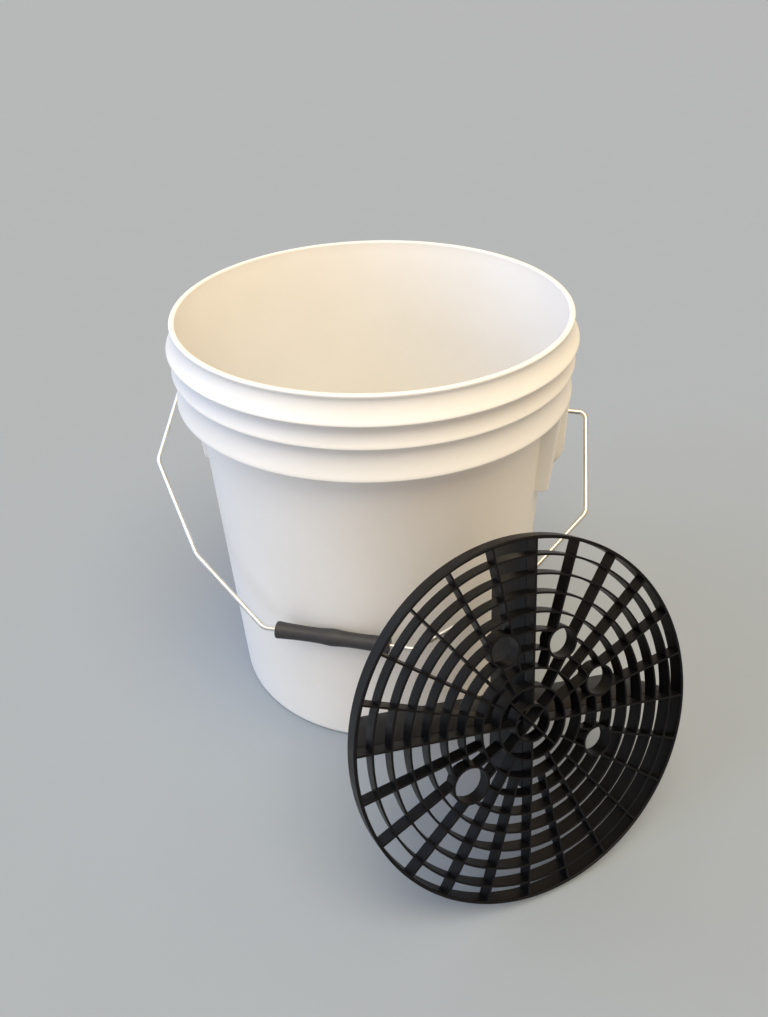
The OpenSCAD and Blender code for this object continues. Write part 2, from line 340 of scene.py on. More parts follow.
class LatticeShape(NodeShape):
    """The guard's grid: rings, spokes in three zones, crossing bars and the holes' tubes.

    The object's own points are the middles of the holes, with their inner radius as "bore".
    """

    def __init__(self) -> None:
        """Builds the tree from swept bars that stop at the holes."""
        super().__init__(
            "Guard lattice",
            {
                "Ring count": 9,
                "Ring pitch": 0.013,
                "Rim radius": 0.1276,
                "Bar thickness": 0.0015,
                "Grid depth": 0.011,
                "Edge radius": 0.0003,
                "Spoke count": 24,
                "Tube wall": 0.0016,
                "Tube depth": 0.011,
            },
        )
        pitch = self.given["Ring pitch"]
        parts = [
            self.bars(self.rings()),
            self.bars(self.spokes(1.0, 3.0, None)),
            self.bars(self.spokes(0.5, 2.0, 3.0)),
            self.bars(self.spokes(1 / 3, 1.0, 2.0)),
            self.bars(self.star(4, 0.0, self.maths("MULTIPLY", pitch, 1.0), math.pi / 4)),
            self.tubes(),
        ]
        joined = self.tree.nodes.new("GeometryNodeJoinGeometry")
        for part in reversed(parts):
            self.tree.links.new(part, joined.inputs[0])
        self.finish(joined.outputs[0])

    def rings(self) -> bpy.types.NodeSocket:
        """Draws the rings as closed lines, one pitch apart."""
        middle = self.node("GeometryNodeMeshLine", {"Count": self.given["Ring count"], "Offset": (0, 0, 0)})
        number = self.maths("ADD", self.node("GeometryNodeInputIndex").outputs[0], 1.0)
        size = self.maths("MULTIPLY", number, self.given["Ring pitch"])
        loop = self.node("GeometryNodeMeshCircle", {"Vertices": 360, "Radius": 1.0})
        rings = self.node(
            "GeometryNodeInstanceOnPoints",
            {"Points": middle.outputs[0], "Instance": loop.outputs[0], "Scale": size},
        )
        return self.node("GeometryNodeRealizeInstances", {0: rings.outputs[0]}).outputs[0]

    def spokes(self, share: float, first: float, last: float | None) -> bpy.types.NodeSocket:
        """Draws a zone of spokes.

        Args:
            share: its part of the full number of spokes.
            first: the ring that they start at.
            last: the ring that they end at; None for the rim.

        Returns:
            The lines.
        """
        count = self.maths("MULTIPLY", self.given["Spoke count"], share)
        start = self.maths("MULTIPLY", self.given["Ring pitch"], first)
        end = self.given["Rim radius"]
        if last is not None:
            end = self.maths("MULTIPLY", self.given["Ring pitch"], last)
        return self.star(count, start, end, 0.0)

    def star(
        self, count: SocketValue, start: SocketValue, end: SocketValue, turn: float
    ) -> bpy.types.NodeSocket:
        """Draws straight lines about the middle.

        Args:
            count: how many.
            start: their inner radius.
            end: their outer radius.
            turn: the first one's direction, in radians.

        Returns:
            The lines.
        """
        step = 0.001
        length = self.maths("SUBTRACT", end, start)
        marks = self.maths("ADD", self.maths("DIVIDE", length, step), 1.0)
        pace = self.maths("DIVIDE", length, self.maths("SUBTRACT", self.maths("ROUND", marks), 1.0))
        line = self.node(
            "GeometryNodeMeshLine",
            {
                "Count": self.maths("ROUND", marks),
                "Start Location": self.node("ShaderNodeCombineXYZ", {"X": start}).outputs[0],
                "Offset": self.node("ShaderNodeCombineXYZ", {"X": pace}).outputs[0],
            },
        )
        middle = self.node("GeometryNodeMeshLine", {"Count": count, "Offset": (0, 0, 0)})
        index = self.node("GeometryNodeInputIndex").outputs[0]
        angle = self.maths("ADD", self.maths("MULTIPLY", self.maths("DIVIDE", index, count), math.tau), turn)
        star = self.node(
            "GeometryNodeInstanceOnPoints",
            {
                "Points": middle.outputs[0],
                "Instance": line.outputs[0],
                "Rotation": self.node("ShaderNodeCombineXYZ", {"Z": angle}).outputs[0],
            },
        )
        return self.node("GeometryNodeRealizeInstances", {0: star.outputs[0]}).outputs[0]

    def profile(self, width: SocketValue, height: SocketValue) -> bpy.types.NodeSocket:
        """Draws a bar's section, with rounded corners."""
        section = self.node("GeometryNodeCurvePrimitiveQuadrilateral", {"Width": width, "Height": height})
        rounded = self.node(
            "GeometryNodeFilletCurve",
            {"Curve": section.outputs[0], "Count": 2, "Radius": self.given["Edge radius"]},
            mode="POLY",
        )
        return rounded.outputs[0]

    def sweep(
        self, lines: bpy.types.NodeSocket, width: SocketValue, height: SocketValue
    ) -> bpy.types.NodeSocket:
        """Sweeps a bar's section along lines, its upper face at the grid's front."""
        upright = self.node("GeometryNodeSetCurveNormal", {"Curve": lines}, mode="Z_UP")
        swept = self.node(
            "GeometryNodeCurveToMesh",
            {"Curve": upright.outputs[0], "Profile Curve": self.profile(width, height), "Fill Caps": True},
        )
        drop = self.node("ShaderNodeCombineXYZ", {"Z": self.maths("MULTIPLY", height, -0.5)})
        moved = self.node(
            "GeometryNodeTransform", {"Geometry": swept.outputs[0], "Translation": drop.outputs[0]}
        )
        return moved.outputs[0]

    def bars(self, lines: bpy.types.NodeSocket) -> bpy.types.NodeSocket:
        """Cuts lines away inside the holes and gives the rest its body."""
        spot = self.node("GeometryNodeInputPosition").outputs[0]
        holes = self.given["Geometry"]
        nearest = self.node("GeometryNodeSampleNearest", {"Geometry": holes, "Sample Position": spot})
        middle = self.node(
            "GeometryNodeSampleIndex",
            {"Geometry": holes, "Value": spot, "Index": nearest.outputs[0]},
            data_type="FLOAT_VECTOR",
        )
        bore = self.node("GeometryNodeInputNamedAttribute", {"Name": "bore"}, data_type="FLOAT")
        radius = self.node(
            "GeometryNodeSampleIndex",
            {"Geometry": holes, "Value": bore.outputs[0], "Index": nearest.outputs[0]},
            data_type="FLOAT",
        )
        apart = self.node("ShaderNodeVectorMath", {0: spot, 1: middle.outputs[0]}, operation="DISTANCE")
        limit = self.maths("ADD", radius.outputs[0], self.maths("MULTIPLY", self.given["Tube wall"], 0.5))
        inside = self.maths("LESS_THAN", apart.outputs["Value"], limit)
        kept = self.node("GeometryNodeDeleteGeometry", {"Geometry": lines, "Selection": inside})
        curves = self.node("GeometryNodeMeshToCurve", {0: kept.outputs[0]})
        return self.sweep(curves.outputs[0], self.given["Bar thickness"], self.given["Grid depth"])

    def tubes(self) -> bpy.types.NodeSocket:
        """Stands a tube round each hole."""
        bore = self.node("GeometryNodeInputNamedAttribute", {"Name": "bore"}, data_type="FLOAT").outputs[0]
        size = self.maths("ADD", bore, self.maths("MULTIPLY", self.given["Tube wall"], 0.5))
        loop = self.node("GeometryNodeCurvePrimitiveCircle", {"Resolution": 72, "Radius": 1.0})
        loops = self.node(
            "GeometryNodeInstanceOnPoints",
            {"Points": self.given["Geometry"], "Instance": loop.outputs[0], "Scale": size},
        )
        real = self.node("GeometryNodeRealizeInstances", {0: loops.outputs[0]})
        return self.sweep(real.outputs[0], self.given["Tube wall"], self.given["Tube depth"])


# ---- finishes ----


class Finish:
    """A material that is made once and then shared."""

    name: str

    def material(self) -> bpy.types.Material:
        """Returns the finish's material, made on first use."""
        found = bpy.data.materials.get(self.name)
        return found if found else self.build(bpy.data.materials.new(self.name))

    def build(self, made: bpy.types.Material) -> bpy.types.Material:
        """Builds the nodes of an empty material."""
        raise NotImplementedError

    @staticmethod
    def start(made: bpy.types.Material) -> tuple[bpy.types.NodeTree, bpy.types.Node, bpy.types.NodeSocket]:
        """Empties a material and gives it a surface shader.

        Args:
            made: the material.

        Returns:
            Its tree, its shader and the object's own coordinates.
        """
        made.use_nodes = True
        tree = made.node_tree
        tree.nodes.clear()
        shader = tree.nodes.new("ShaderNodeBsdfPrincipled")
        add_node(tree, "ShaderNodeOutputMaterial", {"Surface": shader.outputs[0]})
        spot = add_node(tree, "ShaderNodeTexCoord").outputs["Object"]
        return tree, shader, spot


def noise(
    tree: bpy.types.NodeTree,
    spot: bpy.types.NodeSocket,
    size_mm: float,
    detail: float = 2.0,
    rough: float = 0.5,
) -> bpy.types.NodeSocket:
    """Adds noise whose features are about size_mm across, and returns its value."""
    return add_node(
        tree,
        "ShaderNodeTexNoise",
        {"Vector": spot, "Scale": 1 / (size_mm * MM), "Detail": detail, "Roughness": rough},
    ).outputs[0]


def span(
    tree: bpy.types.NodeTree,
    value: bpy.types.NodeSocket,
    low: float,
    high: float,
    start: float = 0.3,
    end: float = 0.7,
) -> bpy.types.NodeSocket:
    """Maps value from start..end to low..high, smoothly."""
    return add_node(
        tree,
        "ShaderNodeMapRange",
        {"Value": value, "From Min": start, "From Max": end, "To Min": low, "To Max": high},
        interpolation_type="SMOOTHSTEP",
    ).outputs[0]


def blend_colours(
    tree: bpy.types.NodeTree, share: bpy.types.NodeSocket, first: str, second: str
) -> bpy.types.NodeSocket:
    """Mixes two hex colours by share and returns the colour."""
    return add_node(
        tree,
        "ShaderNodeMix",
        {0: share, 6: linear(first), 7: linear(second)},
        data_type="RGBA",
    ).outputs[2]


@dataclass(frozen=True)
class MouldedPolyethylene(Finish):
    """Natural white high-density polyethylene, injection moulded.

    The eye reads a waxy body that passes a little light, a satin skin that follows the mould's
    fine polish, and faint level marks left by nested pails.
    """

    name: str = "natural_polyethylene_moulded"
    colour: str = "#F5F3ED"
    shade: str = "#F2F0E9"
    clouds_mm: float = 70.0
    grain_mm: float = 0.9  # drawn coarser than the mould's real polish, so that it shows
    scuff_mm: float = 5.0

    def build(self, made: bpy.types.Material) -> bpy.types.Material:
        """Builds the nodes of an empty material."""
        tree, shader, spot = self.start(made)
        clouds = noise(tree, spot, self.clouds_mm, 3.0)
        grain = noise(tree, spot, self.grain_mm, 2.0)
        level = add_node(tree, "ShaderNodeMapping", {"Vector": spot, "Scale": (1.0, 1.0, 14.0)})
        scuffs = span(tree, noise(tree, level.outputs[0], self.scuff_mm * 6, 4.0, 0.6), 0.0, 1.0, 0.56, 0.72)
        colour = blend_colours(tree, span(tree, clouds, 0.0, 1.0), self.colour, self.shade)
        tree.links.new(colour, shader.inputs["Base Color"])
        gloss = add_node(
            tree,
            "ShaderNodeMath",
            {0: span(tree, clouds, 0.36, 0.44), 1: span(tree, scuffs, 0.0, 0.12, 0.0, 1.0)},
            operation="ADD",
        )
        tree.links.new(gloss.outputs[0], shader.inputs["Roughness"])
        bump = add_node(tree, "ShaderNodeBump", {"Height": grain, "Strength": 0.03, "Distance": 0.0003})
        wave = add_node(
            tree,
            "ShaderNodeBump",
            {"Height": clouds, "Strength": 0.04, "Distance": 0.002, "Normal": bump.outputs[0]},
        )
        tree.links.new(wave.outputs[0], shader.inputs["Normal"])
        shader.inputs["IOR"].default_value = 1.53
        shader.inputs["Subsurface Weight"].default_value = 0.14
        shader.inputs["Subsurface Radius"].default_value = (1.0, 0.92, 0.8)
        shader.inputs["Subsurface Scale"].default_value = 0.006
        return made


@dataclass(frozen=True)
class ZincPlatedWire(Finish):
    """Drawn steel wire with bright zinc plating.

    The eye reads a narrow highlight along the wire, broken by fine drawing lines, with slightly
    duller and warmer patches where it has been handled.
    """

    name: str = "steel_wire_zinc_plated"
    bright: str = "#EDE9DF"
    dull: str = "#DAD5C8"
    patch_mm: float = 14.0
    line_mm: float = 1.2  # drawn coarser than real drawing lines, so that they show

    def build(self, made: bpy.types.Material) -> bpy.types.Material:
        """Builds the nodes of an empty material."""
        tree, shader, spot = self.start(made)
        patches = noise(tree, spot, self.patch_mm, 3.0)
        lines = noise(tree, spot, self.line_mm, 2.0)
        colour = blend_colours(tree, span(tree, patches, 0.0, 1.0), self.bright, self.dull)
        tree.links.new(colour, shader.inputs["Base Color"])
        tree.links.new(span(tree, patches, 0.32, 0.4), shader.inputs["Roughness"])
        bump = add_node(tree, "ShaderNodeBump", {"Height": lines, "Strength": 0.04, "Distance": 0.0001})
        tree.links.new(bump.outputs[0], shader.inputs["Normal"])
        shader.inputs["Metallic"].default_value = 1.0
        return made


@dataclass(frozen=True)
class MouldedDarkPlastic(Finish):
    """A dark moulded plastic with a fine grain and a trace of dust."""

    name: str = "polypropylene_black_moulded"
    colour: str = "#060608"
    dust: str = "#0C0C0E"
    roughness: tuple[float, float] = (0.34, 0.46)
    grain_mm: float = 0.6  # drawn coarser than the mould's spark-eroded grain, so that it shows
    patch_mm: float = 14.0
    grain_strength: float = 0.12
    shine: float = 0.2

    def build(self, made: bpy.types.Material) -> bpy.types.Material:
        """Builds the nodes of an empty material."""
        tree, shader, spot = self.start(made)
        patches = noise(tree, spot, self.patch_mm, 4.0, 0.6)
        grain = noise(tree, spot, self.grain_mm, 2.0)
        colour = blend_colours(tree, span(tree, patches, 0.0, 1.0, 0.4, 0.75), self.colour, self.dust)
        tree.links.new(colour, shader.inputs["Base Color"])
        low, high = self.roughness
        tree.links.new(span(tree, patches, low, high), shader.inputs["Roughness"])
        bump = add_node(
            tree, "ShaderNodeBump", {"Height": grain, "Strength": self.grain_strength, "Distance": 0.0002}
        )
        tree.links.new(bump.outputs[0], shader.inputs["Normal"])
        shader.inputs["IOR"].default_value = 1.49
        shader.inputs["Specular IOR Level"].default_value = self.shine
        return made


@dataclass(frozen=True)
class PaintedFloor(Finish):
    """A matt painted studio floor, plain and pale, with the faintest mottling of a roller coat."""

    name: str = "studio_floor_matt_paint"
    colour: str = "#99A2AB"
    shade: str = "#97A0A9"

    def build(self, made: bpy.types.Material) -> bpy.types.Material:
        """Builds the nodes of an empty material."""
        tree, shader, spot = self.start(made)
        mottle = noise(tree, spot, 60.0, 3.0)
        tree.links.new(blend_colours(tree, mottle, self.colour, self.shade), shader.inputs["Base Color"])
        shader.inputs["Roughness"].default_value = 0.95
        shader.inputs["Specular IOR Level"].default_value = 0.1
        return made


class Finishes(Enum):
    """The finishes of the object's pieces, each with the record's slot that it stands for."""

    PAIL = ("pail_plastic", MouldedPolyethylene())
    WIRE = ("zinc_wire", ZincPlatedWire())
    GRIP = (
        "grip_plastic",
        MouldedDarkPlastic(
            name="grip_polyethylene_charcoal",
            colour="#302F31",
            dust="#3A3836",
            roughness=(0.42, 0.55),
            patch_mm=9.0,
            shine=0.45,
        ),
    )
    GUARD = ("guard_plastic", MouldedDarkPlastic())

    def dress(self, piece: bpy.types.Object) -> None:
        """Gives a piece this finish."""
        slot, finish = self.value
        piece.data.materials.clear()
        piece.data.materials.append(finish.material())

    def look(self) -> bpy.types.Material:
        """Returns this finish's material."""
        return self.value[1].material()


# ---- pieces ----


def report(piece: bpy.types.Object, finish: Finishes, body: str, *nodes: str) -> bpy.types.Object:
    """Dresses a finished piece, rides it on its body and logs it.

    Args:
        piece: the piece, in place.
        finish: its finish.
        body: the CAD body that it moves with.
        *nodes: the CAD nodes that it stands for.

    Returns:
        The piece.
    """
    finish.dress(piece)
    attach(piece, body)
    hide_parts(*nodes)
    log.info("%s: %d faces on %s", piece.name, len(piece.data.polygons), body)
    return piece


@dataclass
class Skirt:
    """One flared skirt below the lip: heights and radii in millimetres."""

    top: float
    low: float
    root: float
    start_r: float
    edge_r: float
    thick: float = 2.2

    @property
    def edge_z(self) -> float:
        """Height of the middle of the rolled lower edge."""
        return self.low + self.thick / 2

    def flare(self, share: float) -> float:
        """Outer radius at a share of the way down."""
        return self.start_r + (self.edge_r - self.start_r) * share**1.8

    def share(self, z: float) -> float:
        """Share of the way down at height z."""
        return (self.top - z) / (self.top - self.edge_z)


@dataclass
class Pail:
    """The moulded pail, in millimetres: one turned shell and two ears."""

    height: float = 338.0
    lip_r: float = 151.0
    lip_h: float = 2.2
    base_r: float = 131.0
    taper: float = 0.0301
    wall: float = 2.2
    floor_z: float = 5.5
    foot_h: float = 3.0
    foot_in_r: float = 122.0
    neck_z: float = 250.0
    ear_turn: float = -14.2
    pivot_h: float = 260.5
    ear_half: float = 30.0
    ear_bottom: float = 203.0
    ear_top: float = 298.0
    ear_reach: tuple[float, float] = (144.8, 151.5)
    ear_skin: float = 2.5
    boss_r: float = 11.0
    boss_reach: float = 153.4
    boss_drop: float = 35.0
    boss_slope: float = 6.0
    bore_r: float = 2.0
    skirts: list[Skirt] = field(default_factory=list)

    def __post_init__(self) -> None:
        """Sets the three skirts from the height and the lip."""
        h, neck = self.height, self.neck_r
        self.skirts = [
            Skirt(self.lip_z, h - 19.8, h - 8.5, neck, 155.9),
            Skirt(h - 17.5, h - 37.0, h - 20.2, neck - 0.6, 154.6),
            Skirt(h - 34.5, h - 61.5, h - 37.2, neck - 0.8, 154.4),
        ]

    @property
    def lip_z(self) -> float:
        """Height of the underside of the lip's bead."""
        return self.height - self.lip_h

    @property
    def neck_r(self) -> float:
        """Outer radius of the wall just under the bead."""
        return self.lip_r - self.lip_h

    def body(self, z: float) -> float:
        """Outer radius of the straight taper at height z."""
        return self.base_r + self.taper * z

    def outside(self, z: float) -> float:
        """Outer radius of the wall at height z."""
        if z < self.neck_z:
            return self.body(z)
        up = (z - self.neck_z) / (self.lip_z - self.neck_z)
        return self.body(z) + (self.neck_r - self.body(self.lip_z)) * up**2

    def outline(self) -> list[Corner]:
        """Draws the pail's section, from the middle of the floor over the lip to the underside."""
        up = [20, 60, 110, 160, 205, 235] + [self.neck_z + 6 * i for i in range(14)]
        inner = self.neck_r - self.wall
        line: list[Corner] = [
            (0, self.floor_z, 0),
            (self.outside(self.floor_z) - self.wall, self.floor_z, 3.4),
            *((self.outside(z) - self.wall, z, 0) for z in up),
            (inner, self.lip_z - 0.4, 0),
            (inner + 0.05, self.height, 1.3),
            (self.lip_r, self.height, 1.1),
            (self.lip_r, self.lip_z, 1.0),
            (self.neck_r + 0.15, self.lip_z - 0.2, 0.5),
        ]
        for skirt in self.skirts:
            line += self.skirt_outline(skirt)
        down = [z for z in reversed(up) if z < self.skirts[-1].root - 3]
        line += [(self.outside(z), z, 0) for z in down]
        line += [(self.body(0), 0, 4.8), (self.foot_in_r, 0, 0.8), (self.foot_in_r, self.foot_h, 0.6)]
        line += [(3.0, self.foot_h, 0), (2.4, self.foot_h + 0.5, 0.2), (0, self.foot_h + 0.5, 0)]
        return line

    def skirt_outline(self, skirt: Skirt) -> list[Corner]:
        """Draws a skirt's outside, rolled edge and inside, down to where the next one starts."""
        half = skirt.thick / 2
        fall = skirt.top - skirt.edge_z
        line: list[Corner] = []
        if skirt is not self.skirts[0]:
            line += [(self.outside(skirt.top), skirt.top, 0.6), (skirt.start_r, skirt.top, 0.7)]
        line += [(skirt.flare(i / 14), skirt.top - i / 14 * fall, 0) for i in range(2, 14)]
        for i in range(9):
            angle = -math.pi * i / 8
            line.append(
                (skirt.edge_r - half + half * math.cos(angle), skirt.edge_z + half * math.sin(angle), 0)
            )
        inside = [
            (skirt.flare(i / 14) - skirt.thick, skirt.top - i / 14 * fall, 0)
            for i in range(13, 0, -1)
            if skirt.top - i / 14 * fall < skirt.root - 1.2
        ]
        inner = max(skirt.flare(skirt.share(skirt.root)) - skirt.thick, self.outside(skirt.root) + 0.1)
        return line + inside + [(inner, skirt.root, 0.3), (self.outside(skirt.root), skirt.root, 0.3)]

    def shell(self, lathe: LatheShape) -> bpy.types.Object:
        """Turns the pail's section into its shell."""
        piece = chain("pail_shell", [(r, 0, z) for r, z in soften(self.outline())])
        lathe.put_on(piece, Finishes.PAIL.look(), Segments=240)
        return settle(piece)

    def ear_outer(self, z: float) -> float:
        """How far an ear's face reaches at height z: rolled in at its foot, tucked under the skirt."""
        low, high = self.ear_reach
        reach = low + (high - low) * (z - self.ear_bottom) / (self.ear_top - self.ear_bottom)
        rise, roll = z - self.ear_bottom, 1.5
        if rise < roll:
            reach -= roll - math.sqrt(roll**2 - (roll - rise) ** 2)
        skirt = self.skirts[-1]
        if z > skirt.edge_z:
            reach = min(reach, skirt.flare(skirt.share(z)) - skirt.thick + 0.9)
        return reach

    def ear_row(self, z: float) -> list[tuple[float, float, float]]:
        """One level line across an ear, from the wall round its face and back to the wall."""
        wall, face, half = self.outside(z), self.ear_outer(z), self.ear_half
        foot = 2.5

        def at(y: float, sink: float) -> float:
            """How far out the wall is beside the ear's middle line, less a sink into it."""
            return math.sqrt(wall**2 - y**2) - sink

        corners: list[Corner] = [
            (-half - foot, at(half + foot, 0.5), 0),
            (-half, at(half, 0.1), 1.5),
            (-half + 1.5, face, 3.0),
            (half - 1.5, face, 3.0),
            (half, at(half, 0.1), 1.5),
            (half + foot, at(half + foot, 0.5), 0),
        ]
        return [(x, y, z) for y, x in soften(corners, 6)]

    def ear_shell(self) -> bpy.types.Object:
        """Builds an ear's thin shell, open below, pointing along X."""
        rise = self.ear_top - self.ear_bottom
        heights = [self.ear_bottom + h for h in (0, 0.05, 0.2, 0.5, 0.9, 1.5, 2.6, 4.5, 6.5)]
        heights += [self.ear_bottom + 8 + (rise - 8) * i / 44 for i in range(45)]
        rows = [self.ear_row(z) for z in heights]
        wide = len(rows[0])
        faces = [
            (a * wide + b, a * wide + b + 1, (a + 1) * wide + b + 1, (a + 1) * wide + b)
            for a in range(len(rows) - 1)
            for b in range(wide - 1)
        ]
        shell = new_mesh("ear_shell", [p for row in rows for p in row], faces)
        skin = shell.modifiers.new("Skin", "SOLIDIFY")
        skin.thickness = self.ear_skin * MM
        skin.offset = -1.0
        skin.use_even_offset = False
        rim = shell.modifiers.new("Rim", "BEVEL")
        rim.width = 0.5 * MM
        rim.segments = 2
        rim.limit_method = "ANGLE"
        rim.angle_limit = math.radians(50)
        settle(shell)
        tuck, cover = 0.6, 1.6  # into the skirt, and short of the wall's inner face
        for point in shell.data.vertices:
            x, y, z = point.co / MM
            reach = math.hypot(x, y)
            share = self.skirts[-1].share(z)
            most = self.skirts[-1].flare(share) - self.skirts[-1].thick + tuck if share < 1 else reach
            grow = max(min(reach, most), self.outside(z) - cover) / reach
            point.co = (x * grow * MM, y * grow * MM, z * MM)
        return shell

    def boss_front(self, z: float) -> float:
        """How far the boss's face reaches at height z: upright, then sloping back to the ear's face."""
        crease = self.pivot_h - self.boss_drop + self.boss_slope
        if z > crease:
            return self.boss_reach
        low = self.pivot_h - self.boss_drop - self.boss_r
        share = (crease - z) / (crease - low)
        return self.boss_reach + (self.ear_outer(low) + 0.1 - self.boss_reach) * share

    def boss_edge(self, across: float, up: float) -> float:
        """How far the boss's outline stands from its hole in one direction, given as a unit pair."""
        sides = self.boss_r / abs(across) if abs(across) > 1e-6 else 999.0
        if up >= 0:
            return min(sides, (self.skirts[-1].low - 0.2 - self.pivot_h) / max(up, 1e-6))
        if -up * sides < self.boss_drop:
            return sides
        ahead = -up * self.boss_drop
        return ahead + math.sqrt(ahead**2 - self.boss_drop**2 + self.boss_r**2)

    def ear_boss(self) -> bpy.types.Object:
        """Builds the bored boss on an ear: round below, running up to the skirt's edge."""
        around, edge = 120, 1.0
        points: list[tuple[float, float, float]] = []
        for i in range(around):
            angle = math.tau * i / around
            across, up = math.cos(angle), math.sin(angle)
            reach = self.boss_edge(across, up)
            crease = (self.boss_drop - self.boss_slope) / -up if up < -0.1 else reach
            middle = min(max(crease, self.bore_r + 1), reach - edge - 0.5)
            section = [(self.bore_r, None), (self.bore_r, 0.5), (self.bore_r + 0.5, 0.0), (middle, 0.0)]
            section += [(reach - edge, 0.0)]
            section += [
                (reach - edge * (1 - math.sin(t)), edge * (1 - math.cos(t)))
                for t in (math.pi / 6, math.pi / 3, math.pi / 2)
            ]
            section += [(reach, None)]
            for r, inset in section:
                z = self.pivot_h + r * up
                back = self.ear_outer(z) - 0.8 * self.ear_skin
                x = back if inset is None else max(self.boss_front(z) - inset, back)
                points.append((x, r * across, z))
        deep = len(points) // around
        faces = [
            (i * deep + a, i * deep + b, j * deep + b, j * deep + a)
            for i in range(around)
            for j in [(i + 1) % around]
            for a in range(deep)
            for b in [(a + 1) % deep]
        ]
        return settle(new_mesh("ear_boss", points, faces), sharp=40)

    def ear(self, name: str, turn: float) -> bpy.types.Object:
        """Builds one ear, turned to its place."""
        piece = join(name, self.ear_shell(), self.ear_boss())
        piece.data.transform(Matrix.Rotation(math.radians(turn), 4, "Z"))
        return piece

    def build(self, lathe: LatheShape) -> None:
        """Builds and dresses the pail's pieces."""
        skirts = [f"skirt_ring_{i}" for i in (1, 2, 3)]
        shell = self.shell(lathe)
        report(shell, Finishes.PAIL, "pail", "pail_base", "foot_ring", "pail_wall", "pail_neck", *skirts)
        report(self.ear("right_ear_moulding", self.ear_turn), Finishes.PAIL, "pail", "ear_right")
        report(self.ear("left_ear_moulding", self.ear_turn + 180), Finishes.PAIL, "pail", "ear_left")


@dataclass
class Bail:
    """The bent wire bail and its hand grip, in millimetres, drawn in the bail's own plane.

    side holds the right half's corners with their bend radii. The left half mirrors it, but for
    the drop of its widest bend: the wire is bent by hand.
    """

    pivot_h: float = 260.5
    turn: float = -14.2
    rest: float = 46.3
    wire_r: float = 1.9
    side: tuple[Corner, ...] = (
        (166.6, 0.0, 6.0),
        (174.5, 78.0, 10.0),
        (126.0, 146.0, 16.0),
        (60.0, 196.2, 12.0),
    )
    left_wide_drop: float = 72.4
    end_x: float = 143.0
    head_r: float = 4.0
    head_h: float = 2.6
    grip_half: float = 45.0
    grip_slide: float = -4.0
    grip_radii: tuple[float, float, float] = (6.7, 5.9, 6.9)
    bore_r: float = 2.0

    @property
    def place(self) -> Matrix:
        """The matrix from the bail's plane to the object's frame, at rest."""
        return (
            Matrix.Translation((0, 0, self.pivot_h * MM))
            @ Matrix.Rotation(math.radians(self.turn), 4, "Z")
            @ Matrix.Rotation(math.radians(270 - self.rest), 4, "X")
        )

    def wire(self, rod: RodShape) -> bpy.types.Object:
        """Bends the wire along its corners, from one end to the other."""
        path = [(self.end_x, 0.0, 0.0), *self.side]
        path += [(-x, y, r) for x, y, r in reversed(path)]
        path[-3] = (path[-3][0], self.left_wide_drop, path[-3][2])
        piece = chain("zinc_bail", [(x, y, 0) for x, y, _ in path])
        bends = piece.data.attributes.new("bend", "FLOAT", "POINT")
        bends.data.foreach_set("value", [r * MM for _, _, r in path])
        rod.put_on(piece, Finishes.WIRE.look(), Wire_radius=self.wire_r * MM)
        settle(piece, self.place)
        return piece

    def heads(self, lathe: LatheShape) -> list[bpy.types.Object]:
        """Turns the two upset heads behind the ears."""
        line = soften(
            [(0, 0, 0), (self.head_r, 0, 0.6), (self.head_r, self.head_h, 0.6), (0, self.head_h, 0)], 3
        )
        made = []
        for way in (-1, 1):
            head = chain("wire_head", [(r, 0, z) for r, z in line])
            lathe.put_on(head, Finishes.WIRE.look(), Segments=32)
            turn = Matrix.Rotation(math.radians(90 * way), 4, "Y")
            spot = turn @ Matrix.Translation((0, 0, self.end_x * MM))
            made.append(settle(head, self.place @ spot))
        return made

    def grip_r(self, x: float) -> float:
        """The grip's radius at x from its middle: a low bulge there, and flared ends."""
        middle, neck, end = self.grip_radii
        flare = max(0.0, abs(x) - 0.4 * self.grip_half) / (0.6 * self.grip_half)
        return neck + (middle - neck) * math.exp(-((x / 8) ** 2)) + (end - neck) * flare**2

    def grip(self, lathe: LatheShape) -> bpy.types.Object:
        """Turns the hand grip, bored for the wire, with softened ends."""
        half, steps = self.grip_half, 60
        ends = half - 0.2
        body = [(self.grip_r(x), x, 0.0) for x in (-ends + 2 * ends * i / steps for i in range(steps + 1))]
        first, last = body[0][0], body[-1][0]
        line = soften(
            [
                (self.bore_r, -half, 0),
                (first, -half, 1.2),
                *body[2:-2],
                (last, half, 1.2),
                (self.bore_r, half, 0),
                (self.bore_r, -half, 0),
            ]
        )
        piece = chain("bail_hand_grip", [(r, 0, z) for r, z in line])
        lathe.put_on(piece, Finishes.GRIP.look(), Segments=72)
        drop = self.side[-1][1] * MM
        spot = Matrix.Translation((self.grip_slide * MM, drop, 0)) @ Matrix.Rotation(math.radians(90), 4, "Y")
        return settle(piece, self.place @ spot)

    def build(self, lathe: LatheShape, rod: RodShape) -> None:
        """Builds and dresses the bail's pieces."""
        wire = join("zinc_bail", self.wire(rod), *self.heads(lathe))
        report(wire, Finishes.WIRE, "bail", "bail_wire")
        report(self.grip(lathe), Finishes.GRIP, "grip", "hand_grip")


